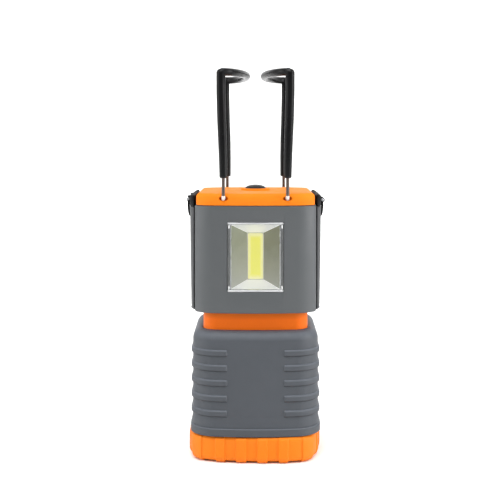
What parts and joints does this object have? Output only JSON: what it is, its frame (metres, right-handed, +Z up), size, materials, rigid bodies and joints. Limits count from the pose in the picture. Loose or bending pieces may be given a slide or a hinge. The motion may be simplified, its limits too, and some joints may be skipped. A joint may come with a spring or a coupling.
{
  "type": "battery led lantern",
  "caption": "Free-standing battery LED lantern with a square lamp head, ribbed grip body, twist-off base, hinged side doors and folding wire bail handles.",
  "frame": {"origin": "centre of the base's flat underside", "axes": "+Z up, out of the base towards the handles; the front lamp faces -Y; the side doors face -X and +X"},
  "size_m": [0.0958, 0.1024, 0.2587],
  "materials": {
    "orange_plastic": "satin moulded plastic, light grain",
    "grey_plastic": "matt moulded plastic, fine texture",
    "grey_rubber": "soft matt rubber overmould",
    "black_plastic": "satin black moulded plastic",
    "button_black": "satin rubber dome",
    "black_rubber": "semi-gloss black rubber",
    "wire_steel": "plated bent wire",
    "zinc_steel": "zinc-plated steel",
    "aluminium": "plain aluminium",
    "clear_lens": "clear polycarbonate",
    "reflector": "vacuum-metallised plastic",
    "cob_phosphor": "yellow phosphor strip on a white board",
    "board_green": "green circuit board",
    "cell_wrap": "printed cell sleeve, left plain",
    "lead_red": "insulated lead",
    "lead_black": "insulated lead"
  },
  "bodies": {
    "base": {"base_cap": "orange_plastic", "base_contact_plate": "zinc_steel", "base_spring_1": "zinc_steel", "base_spring_2": "zinc_steel", "base_spring_3": "zinc_steel", "battery_cell_1": "cell_wrap", "battery_cell_2": "cell_wrap", "battery_cell_3": "cell_wrap"},
    "seal": {"base_seal": "black_rubber"},
    "handle_left": {"handle_wire_left": "wire_steel", "handle_grip_left": "black_rubber"},
    "handle_right": {"handle_wire_right": "wire_steel", "handle_grip_right": "black_rubber"},
    "door_left": {"side_door_left": "grey_plastic", "latch_block_left": "black_plastic", "latch_pin_left": "zinc_steel", "door_pin_left": "zinc_steel"},
    "door_right": {"side_door_right": "grey_plastic", "latch_block_right": "black_plastic", "latch_pin_right": "zinc_steel", "door_pin_right": "zinc_steel"},
    "latch_left": {"latch_lever_left": "black_plastic"},
    "latch_right": {"latch_lever_right": "black_plastic"},
    "button": {"power_button": "button_black"},
    "lantern": {"lower_housing": "black_plastic", "top_contact_board": "board_green", "grip_sleeve": "grey_rubber", "neck_collar": "orange_plastic", "neck_screw_1": "zinc_steel", "neck_screw_2": "zinc_steel", "neck_screw_3": "zinc_steel", "neck_screw_4": "zinc_steel", "head_front_shell": "grey_plastic", "head_rear_shell": "grey_plastic", "rear_screw_1": "zinc_steel", "rear_screw_2": "zinc_steel", "rear_screw_3": "zinc_steel", "rear_screw_4": "zinc_steel", "heat_sink_frame": "aluminium", "driver_board": "board_green", "power_switch": "black_plastic", "battery_lead_negative": "lead_black", "battery_lead_positive": "lead_red", "top_cap": "orange_plastic", "front_lens": "clear_lens", "front_reflector": "reflector", "front_cob": "cob_phosphor", "right_lens": "clear_lens", "right_reflector": "reflector", "right_cob": "cob_phosphor", "rear_lens": "clear_lens", "rear_reflector": "reflector", "rear_cob": "cob_phosphor", "left_lens": "clear_lens", "left_reflector": "reflector", "left_cob": "cob_phosphor"}
  },
  "joints": [
    {"name": "lantern_turn", "type": "hinge", "parent": "base", "child": "seal", "pos_m": [0, 0, 0.007], "axis": [0, 0, 1], "range_deg": [-3.4, 45]},
    {"name": "lantern_lift", "type": "slide", "parent": "seal", "child": "lantern", "axis": [0, 0, 1], "range_m": [0, 0.066]},
    {"name": "handle_left_swing", "type": "hinge", "parent": "lantern", "child": "handle_left", "pos_m": [-0.02095, 0, 0.1733], "axis": [0, -1, 0], "range_deg": [-1.5, 175]},
    {"name": "handle_right_swing", "type": "hinge", "parent": "lantern", "child": "handle_right", "pos_m": [0.02095, 0, 0.1733], "axis": [0, 1, 0], "range_deg": [-1.5, 175]},
    {"name": "door_left_open", "type": "hinge", "parent": "lantern", "child": "door_left", "pos_m": [-0.04195, 0, 0.1], "axis": [0, -1, 0], "range_deg": [0, 90]},
    {"name": "door_right_open", "type": "hinge", "parent": "lantern", "child": "door_right", "pos_m": [0.04195, 0, 0.1], "axis": [0, 1, 0], "range_deg": [0, 90]},
    {"name": "latch_left_lift", "type": "hinge", "parent": "door_left", "child": "latch_left", "pos_m": [-0.0463, 0, 0.1703], "axis": [0, 1, 0], "range_deg": [0, 40]},
    {"name": "latch_right_lift", "type": "hinge", "parent": "door_right", "child": "latch_right", "pos_m": [0.0463, 0, 0.1703], "axis": [0, -1, 0], "range_deg": [0, 40]},
    {"name": "power_press", "type": "slide", "parent": "lantern", "child": "button", "axis": [0, 0, -1], "range_m": [0, 0.0012]}
  ]
}
